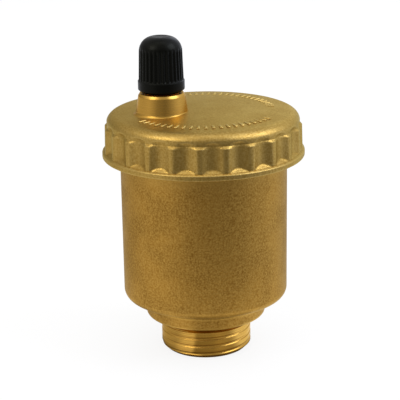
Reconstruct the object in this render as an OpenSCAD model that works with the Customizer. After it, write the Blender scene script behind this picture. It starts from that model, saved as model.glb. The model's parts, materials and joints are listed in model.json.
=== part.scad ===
// Automatic air vent: a brass float chamber with a screwed fluted cover, an off-centre vent
// nozzle under a ribbed plastic cap, and a float that works the vent valve through a lever.
// Units are millimetres. Z is up, the origin is the centre of the inlet thread's end face,
// and the nozzle stands on the -X side. The rest position is an empty vent: float down, valve open.

/* [Inlet thread] */
// Outside diameter of the parallel pipe thread
thread_d = 20.955; // [18:0.001:26.5]
// Pitch of the pipe thread
thread_pitch = 1.814; // [1.5:0.001:2.3]
// Depth of the pipe thread
thread_depth = 1.162; // [0.8:0.001:1.3]
// Full turns of pipe thread
thread_turns = 3; // [2:1:8]
// Chamfer at the end of the pipe thread
thread_chamfer = 0.85; // [0.4:0.05:1.5]
// Length of the plain neck between thread and collar
relief_len = 1.7; // [1:0.1:4]
// Diameter of the inlet bore
inlet_d = 14; // [8:0.1:15]

/* [Body] */
// Diameter of the collar above the thread
collar_d = 27.3; // [24:0.1:34]
// Height of the collar
collar_h = 4.15; // [2:0.05:10]
// Rounding of the collar's lower edge
collar_round = 0.8; // [0.2:0.1:1.5]
// Outside diameter of the bowl
body_d = 38; // [36:0.5:60]
// Height of the bowl, from its underside to the shoulder below the cover
body_h = 33.35; // [30:0.05:70]
// Wall thickness of the bowl
body_wall = 2.4; // [1.5:0.1:3]
// Thickness of the bowl's floor
floor_t = 2.2; // [1.5:0.1:4]
// Rounding of the bowl's lower edge
bottom_round = 2.4; // [1:0.1:4]

/* [Cover thread] */
// How far the threaded rim is turned in below the bowl's outside, on the radius
rim_step = 0.2; // [0.15:0.05:0.4]
// Pitch of the cover thread
cover_pitch = 1.5; // [1.2:0.05:2]
// Depth of the cover thread
cover_thread_depth = 0.8; // [0.5:0.05:0.9]
// Full turns of cover thread
cover_turns = 3; // [2:1:5]
// Section diameter of the sealing ring under the cover
cover_oring_d = 1.3; // [1:0.1:2]

/* [Cover] */
// Gap between the bowl's shoulder and the cover's lower edge
skirt_gap = 0.5; // [0.3:0.1:1.5]
// Cover wall left behind the flutes
cover_wall = 2.4; // [1.2:0.1:4]
// Number of grip flutes
flutes = 24; // [12:1:24]
// Width of one flute
flute_w = 4.9; // [2:0.1:5.3]
// Depth of one flute
flute_depth = 1.2; // [0.5:0.1:1.8]
// How far the lower flange stands out beyond the ribs, on the radius
flange_lip = 0.5; // [0.2:0.1:2]
// Height of the lower flange
flange_h = 1.6; // [1.2:0.1:3]
// Thickness of the cover's roof at its edge
roof_t = 2.5; // [1.8:0.1:5]
// Rise of the crowned top from its edge to its middle
crown_h = 0.6; // [0.2:0.1:2]
// Width of the rounded shoulder, on the radius
shoulder_w = 2.8; // [1:0.1:4]
// Height of the rounded shoulder
shoulder_h = 3.1; // [1.5:0.1:4]
// Inward lean of the ribs from flange to shoulder
rib_draft = 0.3; // [0:0.1:0.6]

/* [Vent boss and nozzle] */
// Outside diameter of the nozzle's thread
nozzle_d = 7.7; // [7:0.1:8.5]
// Pitch of the nozzle's thread
nozzle_pitch = 0.794; // [0.7:0.001:1]
// Depth of the nozzle's thread
nozzle_thread_depth = 0.45; // [0.3:0.05:0.5]
// Wall of the boss around the nozzle
boss_wall = 1.2; // [0.8:0.1:3]
// Height of the boss above the edge of the roof
boss_h = 4.8; // [3:0.1:10]
// Widening of the boss from top to foot, on the radius
boss_taper = 0.25; // [0:0.05:0.8]
// Fillet at the foot of the boss
boss_fillet = 0.8; // [0.3:0.1:1.5]
// Height of the nozzle above the boss
nozzle_h = 9.3; // [8.4:0.1:14]
// Diameter of the vent passage
orifice_d = 2.2; // [1.9:0.1:2.6]
// Diameter of the spring chamber in the nozzle
chamber_d = 4.8; // [4.4:0.1:5.2]
// Height of the hexagon that clamps the nozzle from below
hex_h = 3; // [2:0.1:5]
// Section diameter of the nozzle's sealing ring
nozzle_oring_d = 1.1; // [0.8:0.1:1.4]

/* [Dust cap] */
// Gap between the boss and the cap's lower edge
cap_gap = 0.5; // [0.2:0.1:1.5]
// Wall of the cap at its top
cap_wall = 0.75; // [0.6:0.05:2]
// Widening of the cap from top to foot, on the radius
cap_taper = 0.2; // [0:0.05:0.6]
// How far the smooth foot ring stands out, on the radius
cap_ring_lip = 0.2; // [0.1:0.05:0.6]
// Height of the smooth foot ring
cap_ring_h = 2; // [1:0.1:4]
// Thickness of the cap above its seal
cap_roof = 2.4; // [1.6:0.1:4]
// Height of the cap's dome
cap_dome_h = 3.3; // [2:0.1:4]
// Number of fine grip flutes on the cap
cap_flutes = 30; // [16:1:30]
// Depth of one cap flute
cap_flute_depth = 0.25; // [0.1:0.05:0.4]
// Thickness of the seal inside the cap
cap_seal_t = 1.2; // [0.8:0.1:2]

/* [Float and lever] */
// Distance from the chamber wall to the lever's pivot
pivot_inset = 3.2; // [3.2:0.1:4]
// Distance from the lever's pivot to the valve stem
stem_arm = 3.7; // [3.5:0.1:5]
// How far the float rises to close the valve
float_travel = 4; // [2:0.1:5]
// Gap between the float and the chamber wall
float_gap = 1.2; // [0.8:0.1:3]
// Wall thickness of the float
float_wall = 0.8; // [0.6:0.1:1.5]
// Height of the float's pin above the float
float_pin_h = 3.1; // [3:0.1:6]
// Diameter of the pivot pins
pin_d = 1.6; // [1.2:0.1:1.8]
// Thickness of the lever
lever_t = 1; // [0.8:0.1:1.2]
// Thickness of the bracket's sheet
bracket_t = 0.8; // [0.5:0.1:1.2]

/* [Valve] */
// Diameter of the valve stem
stem_d = 1.5; // [1.2:0.1:1.6]
// Thickness of the valve's rubber seal
valve_seal_t = 1.2; // [0.8:0.1:2]
// Radius of the valve's rubber seal
valve_seal_r = 2.1; // [1.8:0.1:2.2]
// Length of the stem spring with the valve open
spring_len = 4.5; // [4.3:0.1:5]
// Wire diameter of the stem spring
spring_wire = 0.35; // [0.25:0.05:0.4]
// Turns of the stem spring
spring_turns = 5; // [3:1:5]

/* [Hidden] */
$fn = 72;

// Clearances
thread_clear = 0.1;
cap_clear = 0.2;
seal_gap = 0.05;
running_clear = 0.05;
side_clear = 0.25;
stem_clear = 0.2;
contact_gap = 0.05;
rib_clear = 0.4;
foot_clear = 0.5;
bracket_clear = 0.25;
spring_end_gap = 0.02;

// Small edges and fixed thread angles
pipe_half_angle = 27.5;
metric_half_angle = 30;
edge = 0.4;
relief_cut = 0.1;
rim_relief = 0.8;
floor_round = 1.5;
flange_round = 0.5;
overlap = 1;

// Radii and heights of the body
thread_r = thread_d / 2;
inlet_r = inlet_d / 2;
collar_r = collar_d / 2;
body_r = body_d / 2;
bore_r = body_r - body_wall;
rim_r = body_r - rim_step;
relief_r = thread_r - thread_depth - relief_cut;
thread_len = thread_chamfer + thread_turns * thread_pitch + crest(thread_pitch, thread_depth, pipe_half_angle);
collar_z = thread_len + relief_len;
bowl_z = collar_z + collar_h;
floor_z = bowl_z + floor_t;
shoulder_z = bowl_z + body_h;
rim_thread_z = shoulder_z + rim_relief;
rim_thread_len = cover_turns * cover_pitch + crest(cover_pitch, cover_thread_depth, metric_half_angle);
rim_z = rim_thread_z + rim_thread_len + edge;

// Radii and heights of the cover
cover_z = shoulder_z + skirt_gap;
cover_bore_r = rim_r + thread_clear;
rib_r = cover_bore_r + cover_wall + flute_depth;
flange_r = rib_r + flange_lip;
flange_z = cover_z + flange_h;
step_z = rim_z + cover_oring_d + 2 * seal_gap;
pocket_h = 0.6;
ceiling_z = step_z + pocket_h;
roof_z = ceiling_z + roof_t;
shoulder_base_z = roof_z - shoulder_h;
top_r = rib_r - rib_draft - shoulder_w;
crown_z = roof_z + crown_h;
flute_cut_r = (flute_w * flute_w / 4 + flute_depth * flute_depth) / (2 * flute_depth);
flute_centre_r = rib_r - flute_depth + flute_cut_r;
flute_end_drop = 0.8;
flute_floor_lift = 0.05;
flute_z = flange_z + flute_floor_lift;
flute_ball_z = shoulder_base_z - flute_end_drop;

// Places of the lever work
pivot_x = bore_r - pivot_inset;
nozzle_x = pivot_x - stem_arm;
lever_angle = atan(float_travel / pivot_x);
stem_travel = stem_arm * sin(lever_angle);

// Radii and heights of the nozzle
nozzle_r = nozzle_d / 2;
orifice_r = orifice_d / 2;
chamber_r = chamber_d / 2;
boss_bore_r = nozzle_r + contact_gap;
boss_r = boss_bore_r + boss_wall;
boss_z = roof_z + boss_h;
boss_reach = nozzle_x + boss_r + boss_taper + boss_fillet;
boss_foot_z = roof_z + crown_h * (1 - boss_reach * boss_reach / (top_r * top_r));
nozzle_top_z = boss_z + nozzle_h;
chamber_floor_z = boss_z + 0.9;
plate_z = ceiling_z - bracket_t;
hex_z = plate_z - hex_h;
lip_h = 0.5;
seat_z = hex_z - lip_h;
seat_r = orifice_r + 0.7;
hex_flat_r = nozzle_r + 1.15;
hex_corner_r = hex_flat_r / cos(30);
nozzle_oring_r = boss_bore_r + nozzle_oring_d / 2 + seal_gap;
nozzle_seat_r = nozzle_oring_r + nozzle_oring_d / 2 + seal_gap;
nozzle_seat_h = nozzle_oring_d + 2 * seal_gap;
nozzle_thread_z = ceiling_z + nozzle_seat_h + 0.6;
nozzle_turns = floor((nozzle_top_z - edge - nozzle_thread_z) / nozzle_pitch) - 1;
nozzle_thread_top_z = nozzle_top_z - edge - nozzle_turns * nozzle_pitch
    - crest(nozzle_pitch, nozzle_thread_depth, metric_half_angle);

// Radii and heights of the dust cap
cap_z = boss_z + cap_gap;
cap_bore_r = nozzle_r + cap_clear;
cap_top_r = cap_bore_r + cap_wall;
cap_foot_r = cap_top_r + cap_taper;
cap_ring_r = cap_foot_r + cap_ring_lip;
cap_ceiling_z = nozzle_top_z + cap_seal_t;
cap_top_z = cap_ceiling_z + cap_roof;
cap_dome_z = cap_top_z - cap_dome_h;
cap_flat_r = cap_top_r / 3;
cap_ring_chamfer = 0.6;
cap_flute_r = 0.4;

// Heights of the valve, counted with the valve open
valve_closed_gap = 0.03;
seal_top_z = seat_z - stem_travel - valve_closed_gap;
seal_bottom_z = seal_top_z - valve_seal_t;
cup_t = 0.4;
cup_r = valve_seal_r + cup_t;
cup_h = cup_t + valve_seal_t / 2;
cup_z = seal_bottom_z - cup_t;
stem_flange_r = 1.6;
stem_flange_h = 0.8;
stem_r = stem_d / 2;
stem_flange_z = cup_z - stem_flange_h;
neck_gap = 1.1;
pivot_z = stem_flange_z + stem_travel - neck_gap - lever_t / 2;
knuckle_r = 0.8;
knuckle_drop = 0.5;
knuckle_z = pivot_z - stem_travel - knuckle_drop * cos(lever_angle) - knuckle_r;
button_r = stem_r + 0.85;
button_h = 1;
button_z = knuckle_z - contact_gap - button_h;
washer_z = chamber_floor_z + spring_len;
washer_t = 0.4;
clip_t = 0.3;
clip_wall = 0.75;
stem_groove_r = stem_r * 0.66;
stem_clip_z = washer_z + washer_t;
stem_top_z = stem_clip_z + clip_t + 0.5;
washer_r = chamber_r - side_clear - stem_clear;

// Places of the pivot pins and the bracket's ears
pin_r = pin_d / 2;
pin_wall = 0.7;
ear_in = hex_flat_r + 0.6;
ear_out = ear_in + bracket_t;
ear_half = pin_r + pin_wall;
pin_head_r = pin_r + 0.4;
pin_head_h = 0.6;
pin_groove_r = pin_r * 0.68;
pin_clip_y = ear_out + contact_gap;
pin_end_y = pin_clip_y + clip_t + 0.4;

// Sizes of the lever
hub_r = pin_r + pin_wall;
fork_slot_r = stem_r + stem_clear;
keyhole_r = button_r + stem_clear;
keyhole_x = stem_arm + keyhole_r + 1;
plate_half_w = keyhole_r + 1.2;
tongue_half_w = 1.5;
slot_r = pin_r + 0.12;
slot_end = 0.3;
slot_in_x = pivot_x - slot_end;
slot_out_x = pivot_x / cos(lever_angle) + slot_end;
eye_r = slot_r + pin_wall;
lug_r = pin_r + 1;
taper_x = pivot_x - lug_r - 0.5;

// Heights and radii of the float
float_pin_z = pivot_z - float_travel;
float_top_z = float_pin_z - float_pin_h;
foot_h = 1;
foot_r = 1.2;
float_bottom_z = floor_z + foot_clear + foot_h;
float_r = bore_r - float_gap;
float_round = 2;
float_joint_h = 2;
base_t = float_wall * 1.5;
rib_t = 1.2;
rib_end = 1;
foot_ring_r = (inlet_r + float_r) / 2;
lug_in = tongue_half_w + side_clear;
lug_out = lug_in + 1.2;

// Points of a round arc, from one angle to another
function arc(x, z, r, from, to, steps = 8) =
    [for (i = [0 : steps]) let (a = from + (to - from) * i / steps) [x + r * cos(a), z + r * sin(a)]];

// Points of an elliptical arc
function oval(x, z, rx, rz, from, to, steps = 10) =
    [for (i = [0 : steps]) let (a = from + (to - from) * i / steps) [x + rx * cos(a), z + rz * sin(a)]];

// Height of a thread's flank along its axis, and width of its crest
function flank(depth, half_angle) = depth * tan(half_angle);
function crest(pitch, depth, half_angle) = pitch / 2 - flank(depth, half_angle);

// Outline of a male thread, from its first crest to its last
function thread_outline(r, pitch, depth, half_angle, turns, z) =
    let (c = crest(pitch, depth, half_angle), f = flank(depth, half_angle))
    [for (i = [0 : turns]) each let (t = z + i * pitch)
        i == turns ? [[r, t], [r, t + c]]
        : [[r, t], [r, t + c], [r - depth, t + c + f], [r - depth, t + 2 * c + f]]];

// A round bar along Y
module bar_y(from, to, r) {
    translate([0, from, 0])
        rotate([-90, 0, 0])
            cylinder(h = to - from, r = r);
}

// A block between two corners
module block(low, high) {
    translate(low)
        cube(high - low);
}

// An open retaining ring lying flat
module snap_ring(inner_r, t) {
    difference() {
        cylinder(h = t, r = inner_r + clip_wall);
        translate([0, 0, -t])
            cylinder(h = 3 * t, r = inner_r);
        block([0, -inner_r * 0.8, -t], [inner_r + 2 * clip_wall, inner_r * 0.8, 2 * t]);
    }
}

// Moves children to the nozzle's axis
module at_nozzle() {
    translate([-nozzle_x, 0, 0])
        children();
}

// Moves children to the lever's pivot
module at_pivot() {
    translate([-pivot_x, 0, pivot_z])
        children();
}

// Forged bowl with its collar, inlet thread and threaded rim
module body() {
    thread_pts = thread_outline(thread_r, thread_pitch, thread_depth, pipe_half_angle, thread_turns, thread_chamfer);
    rim_pts = thread_outline(rim_r, cover_pitch, cover_thread_depth, metric_half_angle, cover_turns, rim_thread_z);
    rim_root_r = rim_r - cover_thread_depth;
    outline = concat(
        [[inlet_r + edge, 0], [thread_r - thread_chamfer, 0]],
        thread_pts,
        [[relief_r, thread_len + flank(thread_depth, pipe_half_angle)], [relief_r, collar_z]],
        arc(collar_r - collar_round, collar_z + collar_round, collar_round, -90, 0),
        [[collar_r, bowl_z]],
        arc(body_r - bottom_round, bowl_z + bottom_round, bottom_round, -90, 0),
        [[body_r, shoulder_z], [rim_root_r, shoulder_z]],
        [[rim_root_r, rim_thread_z - flank(cover_thread_depth, metric_half_angle)]],
        rim_pts,
        [[rim_r - edge, rim_z], [bore_r, rim_z]],
        arc(bore_r - floor_round, floor_z + floor_round, floor_round, 0, -90),
        [[inlet_r, floor_z], [inlet_r, edge]]
    );
    color("#9a7535")
        rotate_extrude()
            polygon(outline);
}

// Outline of the cover without its boss and flutes
function cover_outline() = concat(
    [[cover_bore_r, cover_z]],
    arc(flange_r - flange_round, cover_z + flange_round, flange_round, -90, 0, 5),
    [[flange_r, flange_z - edge], [flange_r - edge, flange_z], [rib_r, flange_z]],
    oval(top_r, shoulder_base_z, shoulder_w, shoulder_h, 0, 90),
    [for (i = [1 : 6]) let (r = top_r * (1 - i / 6)) [r, roof_z + crown_h * (1 - r * r / (top_r * top_r))]],
    [[0, ceiling_z], [bore_r, ceiling_z], [bore_r, step_z], [cover_bore_r, step_z]]
);

// Outline of the boss on the cover
function boss_outline() = concat(
    [[0, ceiling_z + roof_t / 2], [boss_r + boss_taper + boss_fillet, ceiling_z + roof_t / 2]],
    arc(boss_r + boss_taper + boss_fillet, boss_foot_z + boss_fillet, boss_fillet, 270, 180, 6),
    [[boss_r, boss_z - edge], [boss_r - edge, boss_z], [0, boss_z]]
);

// Cutter for one flute, with a round upper end
module flute_cutter() {
    rotate_extrude($fn = 48)
        polygon(concat(
            [[0, flute_z], [flute_cut_r, flute_z]],
            arc(0, flute_ball_z, flute_cut_r, 0, 90, 6)
        ));
}

// Screwed cover with its fluted grip and the vent boss
module cover() {
    color("#a9873f")
        difference() {
            union() {
                rotate_extrude()
                    polygon(cover_outline());
                at_nozzle()
                    rotate_extrude()
                        polygon(boss_outline());
            }
            at_nozzle() {
                translate([0, 0, ceiling_z - overlap])
                    cylinder(h = boss_z - ceiling_z + 2 * overlap, r = boss_bore_r);
                translate([0, 0, ceiling_z - overlap])
                    cylinder(h = nozzle_seat_h + overlap, r = nozzle_seat_r);
            }
            for (i = [0 : flutes - 1])
                rotate([0, 0, i * 360 / flutes])
                    translate([flute_centre_r, 0, 0])
                        flute_cutter();
        }
}

// Sealing ring between the body's rim and the cover
module cover_oring() {
    color("#1b1b1b")
        rotate_extrude()
            translate([(bore_r + rim_r - edge) / 2, rim_z + seal_gap + cover_oring_d / 2])
                circle(d = cover_oring_d, $fn = 32);
}

// Threaded nozzle with the valve seat below and the spring chamber above
module nozzle() {
    shank = concat(
        [[0, hex_z + hex_h / 2], [nozzle_r, hex_z + hex_h / 2]],
        thread_outline(nozzle_r, nozzle_pitch, nozzle_thread_depth, metric_half_angle, nozzle_turns,
            nozzle_thread_top_z),
        [[nozzle_r - edge, nozzle_top_z], [0, nozzle_top_z]]
    );
    color("#b08d45")
        at_nozzle()
            difference() {
                union() {
                    rotate_extrude()
                        polygon(shank);
                    translate([0, 0, hex_z])
                        cylinder(h = hex_h, r = hex_corner_r, $fn = 6);
                    translate([0, 0, seat_z])
                        cylinder(h = lip_h + overlap, r = seat_r);
                }
                translate([0, 0, seat_z - overlap])
                    cylinder(h = nozzle_top_z - seat_z, r = orifice_r);
                translate([0, 0, chamber_floor_z])
                    cylinder(h = nozzle_top_z - chamber_floor_z + overlap, r = chamber_r);
            }
}

// Sealing ring around the nozzle under the boss
module nozzle_oring() {
    color("#1b1b1b")
        at_nozzle()
            rotate_extrude()
                translate([nozzle_oring_r, ceiling_z + seal_gap + nozzle_oring_d / 2])
                    circle(d = nozzle_oring_d, $fn = 32);
}

// Pressed sheet bracket that hangs the lever's pivot under the cover
module lever_bracket() {
    ear_x = -pivot_x + ear_half;
    color("#b9bdc1")
        difference() {
            union() {
                at_nozzle()
                    translate([0, 0, plate_z])
                        cylinder(h = bracket_t, r = hex_corner_r);
                block([-pivot_x - ear_half, -ear_out, plate_z], [-nozzle_x, ear_out, ceiling_z]);
                for (side = [-1, 1]) {
                    ear_low_y = side > 0 ? ear_in : -ear_out;
                    block([-pivot_x - ear_half, ear_low_y, pivot_z], [ear_x, ear_low_y + bracket_t, plate_z]);
                    at_pivot()
                        bar_y(ear_low_y, ear_low_y + bracket_t, ear_half);
                }
            }
            at_nozzle()
                translate([0, 0, plate_z - overlap])
                    cylinder(h = bracket_t + 2 * overlap, r = nozzle_r + bracket_clear);
            at_pivot()
                bar_y(-ear_out - overlap, ear_out + overlap, pin_r);
        }
}

// Headed pin of the lever's pivot
module lever_pin() {
    color("#c6c9cc")
        at_pivot()
            difference() {
                union() {
                    bar_y(-ear_out - pin_head_h, -ear_out, pin_head_r);
                    bar_y(-ear_out, pin_end_y, pin_r);
                }
                difference() {
                    bar_y(pin_clip_y, pin_clip_y + clip_t, pin_r + overlap);
                    bar_y(pin_clip_y - overlap, pin_clip_y + clip_t + overlap, pin_groove_r);
                }
            }
}

// Retaining ring on the end of the lever's pin
module pin_clip() {
    color("#8d9094")
        at_pivot()
            translate([0, pin_clip_y, 0])
                rotate([-90, 0, 0])
                    snap_ring(pin_groove_r, clip_t);
}

// Lever with a keyhole fork for the stem and a slotted eye for the float
module lever() {
    arm = [
        [0, -plate_half_w], [keyhole_x + keyhole_r / 2, -plate_half_w], [taper_x, -tongue_half_w],
        [slot_in_x, -tongue_half_w], [slot_in_x, tongue_half_w], [taper_x, tongue_half_w],
        [keyhole_x + keyhole_r / 2, plate_half_w], [0, plate_half_w]
    ];
    hub_half = ear_in - side_clear;
    color("#c9ccd0")
        at_pivot()
            rotate([0, lever_angle, 0])
                difference() {
                    union() {
                        bar_y(-hub_half, hub_half, hub_r);
                        translate([0, 0, -lever_t / 2])
                            linear_extrude(lever_t)
                                polygon(arm);
                        translate([stem_arm, 0, -knuckle_drop])
                            bar_y(-plate_half_w, plate_half_w, knuckle_r);
                        for (x = [slot_in_x, slot_out_x])
                            translate([x, 0, 0])
                                bar_y(-tongue_half_w, tongue_half_w, eye_r);
                        block([slot_in_x, -tongue_half_w, -eye_r], [slot_out_x, tongue_half_w, eye_r]);
                    }
                    bar_y(-hub_half - overlap, hub_half + overlap, pin_r + running_clear);
                    for (x = [slot_in_x, slot_out_x])
                        translate([x, 0, 0])
                            bar_y(-tongue_half_w - overlap, tongue_half_w + overlap, slot_r);
                    block([slot_in_x, -tongue_half_w - overlap, -slot_r],
                        [slot_out_x, tongue_half_w + overlap, slot_r]);
                    translate([stem_arm, 0, -hub_r - overlap]) {
                        cylinder(h = 2 * (hub_r + overlap), r = fork_slot_r);
                        block([0, -fork_slot_r, 0], [keyhole_x - stem_arm, fork_slot_r, 2 * (hub_r + overlap)]);
                    }
                    translate([keyhole_x, 0, -hub_r - overlap])
                        cylinder(h = 2 * (hub_r + overlap), r = keyhole_r);
                }
}

// Valve stem with the flange under the seal cup and the button under the lever
module valve_stem() {
    color("#c2a45a")
        at_nozzle()
            rotate_extrude()
                polygon([
                    [0, button_z], [button_r, button_z], [button_r, button_z + button_h],
                    [stem_r, button_z + button_h], [stem_r, stem_flange_z], [stem_flange_r, stem_flange_z],
                    [stem_flange_r, cup_z], [stem_r, cup_z], [stem_r, stem_clip_z], [stem_groove_r, stem_clip_z],
                    [stem_groove_r, stem_clip_z + clip_t], [stem_r, stem_clip_z + clip_t], [stem_r, stem_top_z],
                    [0, stem_top_z]
                ]);
}

// Cup on the stem that holds the rubber seal
module seal_cup() {
    color("#b9bdc1")
        at_nozzle()
            difference() {
                translate([0, 0, cup_z])
                    cylinder(h = cup_h, r = cup_r);
                translate([0, 0, seal_bottom_z])
                    cylinder(h = cup_h, r = valve_seal_r);
                translate([0, 0, cup_z - overlap])
                    cylinder(h = cup_h + 2 * overlap, r = stem_r);
            }
}

// Rubber disc that closes on the nozzle's lip
module valve_seal() {
    color("#222222")
        at_nozzle()
            translate([0, 0, seal_bottom_z])
                difference() {
                    cylinder(h = valve_seal_t, r = valve_seal_r);
                    translate([0, 0, -overlap])
                        cylinder(h = valve_seal_t + 2 * overlap, r = stem_r);
                }
}

// Helical spring that lifts the stem, swept as one tube of six-sided rings
module stem_spring() {
    sides = 6;
    rings = spring_turns * 8;
    mean_r = (washer_r + stem_r + stem_clear) / 2 + spring_wire / 2;
    wire_r = spring_wire / 2;
    rise = spring_len - spring_wire - 2 * spring_end_gap;
    points = [for (i = [0 : rings], k = [0 : sides - 1])
        let (turn = i * 45, around = k * 360 / sides, r = mean_r + wire_r * cos(around))
        [r * cos(turn), r * sin(turn), wire_r + spring_end_gap + rise * i / rings + wire_r * sin(around)]];
    faces = concat(
        [for (k = [1 : sides - 2]) [0, k + 1, k]],
        [for (k = [1 : sides - 2]) [rings * sides, rings * sides + k, rings * sides + k + 1]],
        [for (i = [0 : rings - 1], k = [0 : sides - 1])
            let (a = i * sides + k, b = i * sides + (k + 1) % sides)
            each [[a, b, b + sides], [a, b + sides, a + sides]]]
    );
    color("#a4a8ac")
        at_nozzle()
            translate([0, 0, chamber_floor_z])
                polyhedron(points, faces);
}

// Washer on top of the stem spring
module spring_washer() {
    color("#b9bdc1")
        at_nozzle()
            translate([0, 0, washer_z])
                difference() {
                    cylinder(h = washer_t, r = washer_r);
                    translate([0, 0, -overlap])
                        cylinder(h = washer_t + 2 * overlap, r = stem_r + running_clear);
                }
}

// Retaining ring that holds the washer on the stem
module stem_clip() {
    color("#8d9094")
        at_nozzle()
            translate([0, 0, stem_clip_z])
                snap_ring(stem_groove_r, clip_t);
}

// Upper part of the float with its guide ribs and lugs
module float_shell() {
    open_z = float_bottom_z + base_t;
    inner_r = float_r - float_wall;
    outline = concat(
        [[inner_r, open_z], [float_r, open_z]],
        arc(float_r - float_round, float_top_z - float_round, float_round, 0, 90),
        [[0, float_top_z], [0, float_top_z - float_wall]],
        arc(float_r - float_round, float_top_z - float_round, float_round - float_wall, 90, 0)
    );
    color("#e9e6dc")
        difference() {
            union() {
                rotate_extrude()
                    polygon(outline);
                for (a = [0 : 90 : 270])
                    rotate([0, 0, a + 45])
                        block([float_r - float_wall / 2, -rib_t / 2, open_z + rib_end],
                            [bore_r - rib_clear, rib_t / 2, float_top_z - float_round - rib_end]);
                for (side = [-1, 1]) {
                    lug_low_y = side > 0 ? lug_in : -lug_out;
                    lug_high_y = lug_low_y + lug_out - lug_in;
                    block([-lug_r, lug_low_y, float_top_z - float_wall / 2], [lug_r, lug_high_y, float_pin_z]);
                    translate([0, 0, float_pin_z])
                        bar_y(lug_low_y, lug_high_y, lug_r);
                }
            }
            translate([0, 0, float_pin_z])
                bar_y(-lug_out - overlap, lug_out + overlap, pin_r);
        }
}

// Welded lower part of the float with a locating spigot and feet
module float_base() {
    open_z = float_bottom_z + base_t;
    inner_r = float_r - float_wall;
    color("#e2dfd4")
        union() {
            rotate_extrude()
                polygon([
                    [0, float_bottom_z], [float_r - edge, float_bottom_z], [float_r, float_bottom_z + edge],
                    [float_r, open_z], [inner_r, open_z], [inner_r, open_z + float_joint_h],
                    [inner_r - float_wall, open_z + float_joint_h], [inner_r - float_wall, open_z], [0, open_z]
                ]);
            for (a = [0 : 90 : 270])
                rotate([0, 0, a])
                    translate([foot_ring_r, 0, float_bottom_z - foot_h])
                        cylinder(h = foot_h + base_t / 2, r = foot_r);
        }
}

// Pin that joins the float's lugs to the lever's eye
module float_pin() {
    color("#c6c9cc")
        translate([0, 0, float_pin_z])
            bar_y(-lug_out - edge, lug_out + edge, pin_r);
}

// Outline of the cap, with its foot ring, tapered grip and dome
function cap_outline() = concat(
    [[cap_bore_r, cap_z], [cap_ring_r - cap_ring_chamfer / 2, cap_z], [cap_ring_r, cap_z + cap_ring_chamfer]],
    [[cap_ring_r, cap_z + cap_ring_h], [cap_foot_r, cap_z + cap_ring_h + cap_ring_lip]],
    oval(cap_flat_r, cap_dome_z, cap_top_r - cap_flat_r, cap_dome_h, 0, 90),
    [[0, cap_top_z], [0, cap_ceiling_z], [cap_bore_r, cap_ceiling_z]]
);

// Ribbed plastic cap screwed on the nozzle
module dust_cap() {
    flute_centre = cap_foot_r - cap_flute_depth + cap_flute_r;
    grip_z = cap_z + cap_ring_h + cap_ring_lip;
    color("#161616")
        at_nozzle()
            difference() {
                rotate_extrude()
                    polygon(cap_outline());
                for (i = [0 : cap_flutes - 1])
                    rotate([0, 0, i * 360 / cap_flutes])
                        translate([flute_centre, 0, grip_z])
                            cylinder(h = cap_top_z - grip_z, r = cap_flute_r, $fn = 24);
            }
}

// Rubber disc between the nozzle's end and the cap
module cap_seal() {
    color("#2a2a2a")
        at_nozzle()
            translate([0, 0, nozzle_top_z])
                cylinder(h = cap_seal_t, r = cap_bore_r - contact_gap);
}

body();
cover();
cover_oring();
nozzle();
nozzle_oring();
lever_bracket();
lever_pin();
pin_clip();
lever();
valve_stem();
seal_cup();
valve_seal();
stem_spring();
spring_washer();
stem_clip();
float_shell();
float_base();
float_pin();
dust_cap();
cap_seal();
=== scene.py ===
"""Looks of an automatic air vent: forged and turned brass, a ribbed plastic cap and the float
work inside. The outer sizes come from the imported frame. Lengths are in metres, and those that a user
can change are written in millimetres."""

import json
import math

import bpy
import numpy as np
from mathutils import Matrix, Vector


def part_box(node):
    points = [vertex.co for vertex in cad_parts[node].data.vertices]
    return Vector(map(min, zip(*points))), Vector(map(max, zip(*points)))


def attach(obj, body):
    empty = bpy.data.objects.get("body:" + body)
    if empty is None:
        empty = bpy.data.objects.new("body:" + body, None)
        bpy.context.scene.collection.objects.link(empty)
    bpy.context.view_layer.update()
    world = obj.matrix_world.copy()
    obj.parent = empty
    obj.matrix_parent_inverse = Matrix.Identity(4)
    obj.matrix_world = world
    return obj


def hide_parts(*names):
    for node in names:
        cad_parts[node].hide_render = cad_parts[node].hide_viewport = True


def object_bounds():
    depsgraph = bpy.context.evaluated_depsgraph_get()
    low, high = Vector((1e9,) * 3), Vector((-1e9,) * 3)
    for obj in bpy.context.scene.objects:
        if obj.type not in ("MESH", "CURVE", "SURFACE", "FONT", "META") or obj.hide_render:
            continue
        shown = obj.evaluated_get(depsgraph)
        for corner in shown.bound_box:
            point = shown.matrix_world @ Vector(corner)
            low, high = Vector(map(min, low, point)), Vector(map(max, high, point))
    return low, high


bl_info = {
    "name": "Automatic air vent",
    "version": (1, 0, 0),
    "blender": (4, 5, 0),
    "location": "View3D > Sidebar > Air vent",
    "description": "Dresses the packed air vent: brass body and cover, dust cap, inner works and studio",
    "category": "Add Mesh",
}

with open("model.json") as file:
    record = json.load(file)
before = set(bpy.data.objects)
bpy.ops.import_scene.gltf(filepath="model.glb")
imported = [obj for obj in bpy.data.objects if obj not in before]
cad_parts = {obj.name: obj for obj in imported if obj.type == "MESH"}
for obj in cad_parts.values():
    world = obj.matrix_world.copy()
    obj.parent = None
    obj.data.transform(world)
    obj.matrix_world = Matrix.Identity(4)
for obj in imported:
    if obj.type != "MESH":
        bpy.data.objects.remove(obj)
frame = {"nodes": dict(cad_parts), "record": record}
CAD_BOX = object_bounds()
_, BODY_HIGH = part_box("body")
COVER_LOW, COVER_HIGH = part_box("cover")
CAP_LOW, CAP_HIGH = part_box("dust_cap")

MM = 0.001
MICRON = 0.000001
FULL_TURN = 2 * math.pi
# Straights longer than the span get extra points at the gap from both ends
HOLD_GAP = 0.1 * MM
LONG_SPAN = 6 * HOLD_GAP
FLANGE_R = min(COVER_HIGH.x, -COVER_LOW.x)
BOSS_X = (CAP_LOW.x + CAP_HIGH.x) / 2


# Property helpers

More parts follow.
